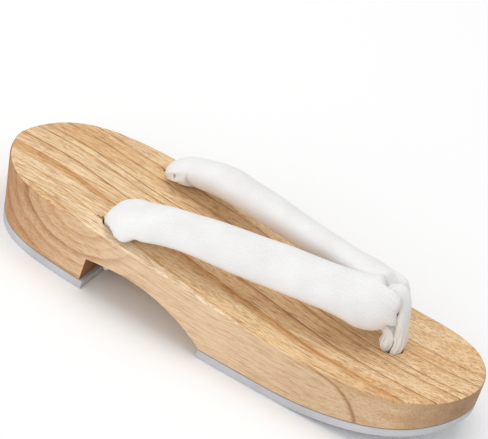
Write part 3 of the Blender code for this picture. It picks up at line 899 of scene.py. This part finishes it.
def make_treads(material):
    """Rubber sheets with slightly rounded edges."""
    corner = RUBBER_ROUNDING * (1 - math.sqrt(0.5))
    levels = [
        (RUBBER_INSET, floor_z, heel_lean),
        (RUBBER_ROUNDING, floor_z, heel_lean),
        (corner, lambda y: floor_z(y) + corner, heel_lean),
        (0, lambda y: floor_z(y) + RUBBER_ROUNDING, heel_lean),
        (0, lambda y: floor_z(y) + TREAD - GAP / 2 - EDGE_WEAR, joint_lean),
        (EDGE_WEAR, lambda y: floor_z(y) + TREAD - GAP / 2, joint_lean),
    ]
    heel = boat_block(right_edge(-LENGTH / 2, HEEL_TREAD_Y), levels)
    finish_piece("rubber_heel_tread", heel, material, ["heel_tread"])
    forefoot = boat_block(right_edge(FOREFOOT_TREAD_Y, LENGTH / 2), levels)
    piece = finish_piece("rubber_forefoot_tread", forefoot, material, ["forefoot_tread"])
    carve(piece, [pocket_cutter("tread_pocket")])


# Cloth


def sample_rows(table, columns, step):
    """Smooth rows along a table's path, about a step apart, and how far along the path each one is."""
    rows = np.array(table, dtype=float)
    run = np.concatenate(([0], np.cumsum(np.linalg.norm(np.diff(rows[:, :columns], axis=0), axis=1))))
    count = round(run[-1] * MM / step) + 1
    stops = np.linspace(0, run[-1], count)
    return smooth_curve(run, rows)(stops), stops


def map_cloth(bm, lengths, count, girth):
    """Cloth map: how far along the piece, and how far round it, in metres."""
    bm.verts.index_update()
    layer = bm.loops.layers.uv.new("cloth")
    for face in bm.faces:
        spots = [(loop.vert.index // count, loop.vert.index % count) for loop in face.loops]
        wraps = any(k == count - 1 for n, k in spots)
        for loop, (n, k) in zip(face.loops, spots):
            turn = count if wraps and k == 0 else k
            loop[layer].uv = (lengths[n] * MM, girth * turn / count)


def sideways(y):
    """Shift of the straps towards the toe loop, which stands off the middle line."""
    share = (y - REAR_BORE_TOP[0]) / (FRONT_BORE_Y - REAR_BORE_TOP[0])
    return FRONT_BORE_X * np.clip(share, 0, 1)


def loop_profile():
    """Angles and inner radii, in mm, of the toe loop round the joint."""
    rows = sample_rows(TOE_LOOP, 2, LOOP_STEP)[0]
    around = rows[rows[:, 1] > JOINT_BOTTOM]
    offset = around[:, :2] - (JOINT_Y / MM, JOINT_Z / MM)
    angles = np.arctan2(offset[:, 1], offset[:, 0])
    angles = np.where(angles < -math.pi / 2, angles + 2 * math.pi, angles)
    radii = np.linalg.norm(offset, axis=1) - around[:, 3]
    order = np.argsort(angles)
    return angles[order], radii[order]


LOOP_ANGLES, LOOP_RADII = loop_profile()


def pinch(point):
    """Presses the joint in where the toe loop goes round it, and swells the cloth up beside the loop."""
    dy = (point.y - JOINT_Y) / MM
    dz = (point.z - JOINT_Z) / MM
    radius = math.hypot(dy, dz)
    angle = math.atan2(dz, dy)
    if angle < -math.pi / 2:
        angle += 2 * math.pi
    if not SHAPED_RADII[0] <= radius <= SHAPED_RADII[1]:
        return point
    loop = float(np.interp(angle, LOOP_ANGLES, LOOP_RADII))
    off = abs(point.x - FRONT_BORE_X) / MM
    behind = smooth_step(-dy, *BEHIND)
    start, end = (a + (b - a) * behind for a, b in zip(HELD_WIDTH, HELD_WIDTH_BEHIND))
    held = (1 - smooth_step(off, start, end)) * (1 - smooth_step(radius, *HELD_REACH))
    held *= 1 - (1 - HELD_BEHIND) * behind
    kept = radius - max(radius - loop + GAP / MM, 0) * held
    rear = smooth_step(angle, *REAR_START)
    growth = smooth_step(angle, *SWELL_GROWTH)
    swollen = loop + SWELL * (SWELL_IN_FRONT + (1 - SWELL_IN_FRONT) * growth) + REAR_SWELL * rear
    share = smooth_step(angle, *SWELL_START) * (1 - smooth_step(angle, *SWELL_END))
    share *= smooth_step(off, *SWELL_WIDTH) * smooth_step(radius, *SWELL_RADII)
    share *= hump(max(off, SWELL_WIDTH[1]), SWELL_WIDTH[1], SWELL_FADE)
    if point.x < FRONT_BORE_X:
        share *= LEFT_SWELL + (LEFT_REAR_SWELL - LEFT_SWELL) * rear
    kept += max(swollen - kept, 0) * share
    return Vector((point.x, JOINT_Y + dy * kept / radius * MM, JOINT_Z + dz * kept / radius * MM))


def strap_relief(run, far_side, angle):
    """Listed folds of a padded strap, in metres outward. run is in mm from its rear end."""
    a = angle if angle < 1.5 * math.pi else angle - 2 * math.pi
    rise = 0
    for height, at, length, side, width, slant in (*(FAR_FOLDS if far_side else NEAR_FOLDS), *BOTH_FOLDS):
        rise += height * hump(run + slant * (a - side), at, length) * hump(a, side, width)
    if far_side:
        for height, at, length, side, width, along, around in FAR_PUCKERS:
            waves = math.cos(along * run + around * a)
            rise += height * waves * hump(run, at, length) * hump(a, side, width)
    return rise * MM


def make_straps(material):
    """The padded strap pair, one tube from bore to bore, bent at the joint."""
    left = [(-x, y, z, width, thickness, tilt, 180 - turn) for x, y, z, width, thickness, tilt, turn in STRAP]
    rows, stops = sample_rows([*STRAP, *left[-2::-1]], 3, STRAP_STEP)
    path = rows[:, :3] * MM
    path[:, 0] += sideways(path[:, 1])
    tangents = np.gradient(path, axis=0)
    angles = full_turn(STRAP_SIDES)

    def section(number, row):
        half_width, half_thickness, tilt, turn = row[3:]
        centre = Vector(path[number])
        along = Vector(tangents[number]).normalized()
        side = Vector((math.cos(math.radians(turn)), math.sin(math.radians(turn)), 0))
        side = (side - along * side.dot(along)).normalized()
        side = Matrix.Rotation(math.radians(tilt), 3, along) @ side
        up = side.cross(along)
        near = min(stops[number], stops[-1] - stops[number])
        far_side = stops[number] > stops[-1] / 2
        lying = centre.z > footbed_z(centre.y)[0] + LYING_HEIGHT
        middle, reach, square = MOUTH
        power = 1 - square * hump(near, middle, reach)
        points = []
        for a in angles:
            relief = strap_relief(near, far_side, a)
            sine = math.sin(a)
            if sine < 0:
                sine = -(abs(sine) ** power)
            point = centre + side * (half_width * MM + relief) * math.cos(a)
            point += up * (half_thickness * MM + relief) * sine
            if lying:
                point.z = max(point.z, footbed_z(point.y)[0] + GAP)
            points.append(pinch(point))
        return points

    bm = tube(list(rows), section, STRAP_SIDES)
    map_cloth(bm, stops, STRAP_SIDES, GIRTH)
    piece = finish_piece("padded_straps", bm, material, ["straps"], sharp=180)


def make_toe_loop(material):
    """The cloth loop round the joint, puckered where it goes into its bore."""
    rows, stops = sample_rows(TOE_LOOP, 2, LOOP_STEP)
    path = rows[:, :2] * MM
    tangents = np.gradient(path, axis=0)
    angles = full_turn(LOOP_SIDES)
    middle = len(rows) / 2
    seam = smooth_curve(SEAM_HEIGHTS, SEAM_Y)

    def section(number, row):
        run_y, run_z = tangents[number]
        across = Vector((0, run_z, -run_y)).normalized()
        centre = Vector((FRONT_BORE_X, *path[number]))
        height = row[1]
        rear = number < middle
        foot = smooth_step(height, *PUCKER_RISE) * (1 - smooth_step(height, *PUCKER_FADE))
        crown = smooth_step(height, *CROWN)
        top = REAR_PRESS_TOP if rear else FRONT_PRESS_TOP
        press = (1 - smooth_step(height, top, top + PRESS_FADE)) * smooth_step(height, *PRESS_START)
        points = []
        for a in angles:
            fold = foot * sum(
                depth * math.cos(count * a + twist * height + first) for depth, count, twist, first in PUCKERS
            )
            wide = (row[2] + fold) * MM
            # the crown is folded along its middle
            thick = (row[3] + fold - CROWN_FOLD[0] * crown * hump(math.cos(a), 0, CROWN_FOLD[1])) * MM
            point = centre + Vector((1, 0, 0)) * wide * math.cos(a) + across * thick * math.sin(a)
            # the legs press on each other under the joint
            way = 1 if rear else -1
            facing = max(way * (point.y - centre.y) / thick, 0)
            meet = seam(max(point.z / MM, SEAM_HEIGHTS[0]))[0, 0] * MM - way * GAP / 2
            shove = (meet - point.y) * facing**FACING_POWER * press
            if rear:
                shove = max(shove, 0)
            elif height > TIGHT_TOP:
                shove = min(shove, 0)
            point.y += shove
            points.append(point)
        return points

    bm = tube(list(rows), section, LOOP_SIDES)
    map_cloth(bm, stops, LOOP_SIDES, LOOP_GIRTH)
    piece = finish_piece("cloth_toe_loop", bm, material, ["toe_loop"], sharp=180)


def knot_path(size):
    """Middle line of an overhand knot: a neck from the bore, three crossings and a short tail."""
    low = size["drop"] + size["rise"]
    points = [(0, 0, size["neck"]), KNOT_NECK]
    for t in np.linspace(KNOT_OPENING, 2 * math.pi - KNOT_OPENING, KNOT_POINTS):
        across = size["breadth"] * (math.sin(t) + 2 * math.sin(2 * t))
        along = size["breadth"] * (math.cos(t) - 2 * math.cos(2 * t))
        points.append((across, along, size["drop"] - size["rise"] * math.sin(3 * t)))
    return points + [(x, y * size["breadth"], low + z) for x, y, z in KNOT_TAIL]


def make_knot(name, node, top, down, side, size, material):
    """A knot of three-ply cord under its bore. side is 1, or -1 for a mirrored knot."""
    rows, stops = sample_rows(knot_path(size), 3, KNOT_STEP)
    turn = down.to_track_quat("Z", "Y").to_matrix()
    path = [top + turn @ Vector((side * x * MM, y * MM, z * MM)) for x, y, z in rows]
    tangents = [Vector(t).normalized() for t in np.gradient(np.array(path), axis=0)]
    normals = [tangents[0].orthogonal().normalized()]
    for tangent in tangents[1:]:
        normals.append((normals[-1] - tangent * normals[-1].dot(tangent)).normalized())
    angles = full_turn(KNOT_SIDES)

    def section(number, centre):
        normal = normals[number]
        other = tangents[number].cross(normal)
        points = []
        for a in angles:
            groove = 1 - abs(math.sin((PLIES * a + side * PLY_TURN * stops[number]) / 2))
            radius = size["radius"] * MM * (1 - PLY_DEPTH * groove)
            points.append(centre + (normal * math.cos(a) + other * math.sin(a)) * radius)
        return points

    finish_piece(name, tube(path, section, KNOT_SIDES), material, [node], sharp=60)


make_camera()
make_studio()
woods = [
    wood_material(
        "planed_paulownia",
        TOP_RINGS,
        ground=("#E8C08C", "#F6DAB0"),
        pores=(0.5, "#9A6836"),
        contrast=0.8,
        # painted light along the middle and a painted highlight on the right strip of the top
        painted_light_share=0.5,
        chips=CHIPS,
    ),
    wood_material(
        "sawn_paulownia_wall",
        WALL_RINGS,
        ground=("#D8B38A", "#E6C8A4"),
        pores=(0.2, "#A0744C"),
        contrast=0.4,
        on_wall=True,
    ),
    # end grain, darker in itself and darker still with painted shade of the recess under the arch
    wood_material(
        "sawn_paulownia_end_grain_with_painted_shade",
        (),
        ground=("#966442", "#A87852"),
        pores=(0.4, "#6E4A30"),
        contrast=0.5,
    ),
]
rubber = rubber_material()
crepe = crepe_material()
cord = cord_material()
make_base(woods)
make_treads(rubber)
make_straps(crepe)
make_toe_loop(crepe)
for side, hand in ((1, "right"), (-1, "left")):
    top, foot, down = rear_bore(side)
    make_knot("twisted_cord_knot_" + hand, "cord_knot_" + hand, foot, down, side, REAR_KNOT, cord)
top = front_bore(KNOT_POCKET_TOP)
down = Vector((0, 0, -1))
make_knot("twisted_cord_knot_front", "cord_knot_front", top, down, 1, FRONT_KNOT, cord)
